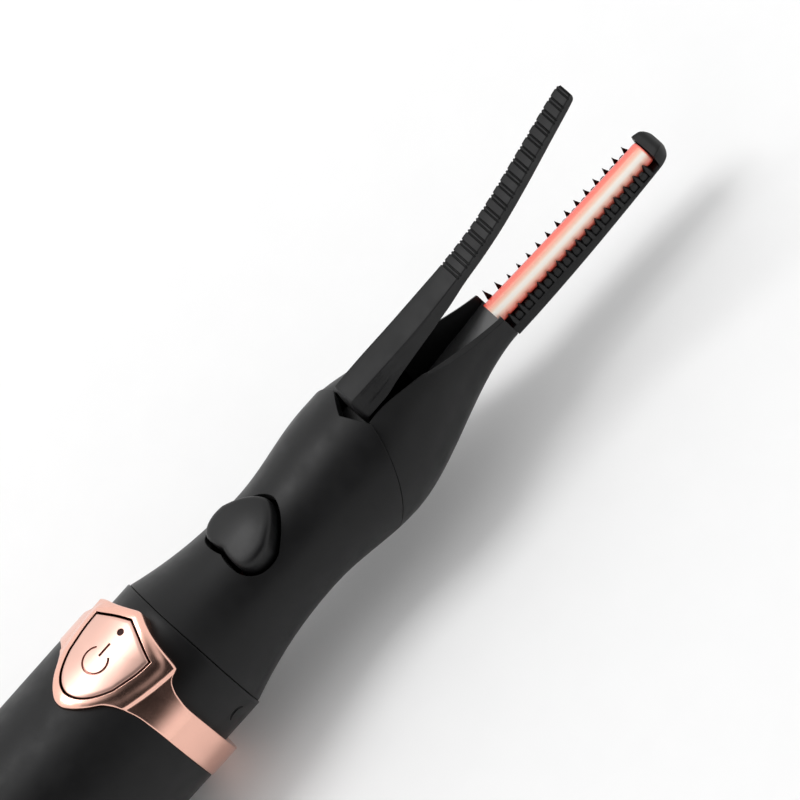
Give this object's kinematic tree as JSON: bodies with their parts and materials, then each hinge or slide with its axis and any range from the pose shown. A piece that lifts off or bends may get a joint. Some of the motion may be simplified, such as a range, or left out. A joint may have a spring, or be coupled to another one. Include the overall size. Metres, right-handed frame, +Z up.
{
  "type": "heated eyelash curler",
  "caption": "Slim rechargeable heated eyelash curler: black handle with a shield-shaped power key, a heart-shaped thumb lever, a sprung jaw and a toothed comb with a heated rod.",
  "frame": {"origin": "under the middle of the length, on the surface that the curler lies on", "axes": "+X along the handle towards the jaws, +Z up through the power key and the thumb button"},
  "size_m": [0.165, 0.0212, 0.0277],
  "materials": {
    "soft_black": "soft-touch matte",
    "cap_black": "satin",
    "collar_black": "satin",
    "rose_gold": "polished rose-gold plate",
    "rose_gold_key": "satin rose-gold plate",
    "light_pipe": "smoked",
    "switch_plastic": "moulded",
    "plunger_plastic": "moulded",
    "led": "moulded",
    "board": "solder mask",
    "chips": "moulded",
    "steel": "bright",
    "tray_plastic": "moulded",
    "cell_wrap": "shrink sleeve",
    "nickel": "rolled",
    "lead_red": "silicone sleeve",
    "lead_black": "silicone sleeve",
    "lead_white": "silicone sleeve",
    "socket_steel": "drawn",
    "button_black": "satin",
    "arm_black": "satin",
    "spring_steel": "drawn wire",
    "comb_black": "satin",
    "rod_coral": "heat-proof gloss coating",
    "ceramic": "fired",
    "sensor_glass": "bead",
    "heat_plastic": "moulded"
  },
  "bodies": {
    "handle": {"handle_shell": "soft_black", "end_cap": "cap_black", "front_collar": "collar_black", "accent_ring": "rose_gold", "tact_switch": "switch_plastic", "status_led": "led", "main_board": "board", "board_components": "chips", "board_screws": "steel", "chassis_tray": "tray_plastic", "battery_cell": "cell_wrap", "battery_tabs": "nickel", "battery_lead_positive": "lead_red", "battery_lead_negative": "lead_black", "charging_board": "board", "charger_components": "chips", "usb_c_socket": "socket_steel", "head_shell": "soft_black", "nose_shell": "soft_black", "pivot_pin": "steel", "return_spring": "spring_steel", "comb": "comb_black", "heated_rod": "rod_coral", "heater_core": "ceramic", "temperature_sensor": "sensor_glass", "rod_holder": "heat_plastic", "heater_lead_live": "lead_red", "heater_lead_return": "lead_white"},
    "lever": {"clamp_lever": "arm_black", "thumb_button": "button_black"},
    "power_key": {"power_button": "rose_gold_key", "light_pipe": "light_pipe", "switch_plunger": "plunger_plastic"}
  },
  "joints": [
    {"name": "clamp_hinge", "type": "hinge", "parent": "handle", "child": "lever", "pos_m": [0.0341, 0, 0.0151], "axis": [0, 1, 0], "range_deg": [0, 17.8], "stiffness_Nm_per_rad": 0.05, "springref_deg": 28.65, "deforming": ["return_spring"]},
    {"name": "power_key_slide", "type": "slide", "parent": "handle", "child": "power_key", "axis": [0, 0, -1], "range_m": [0, 0.00035], "stiffness_N_per_m": 800, "springref_m": -0.0002}
  ]
}
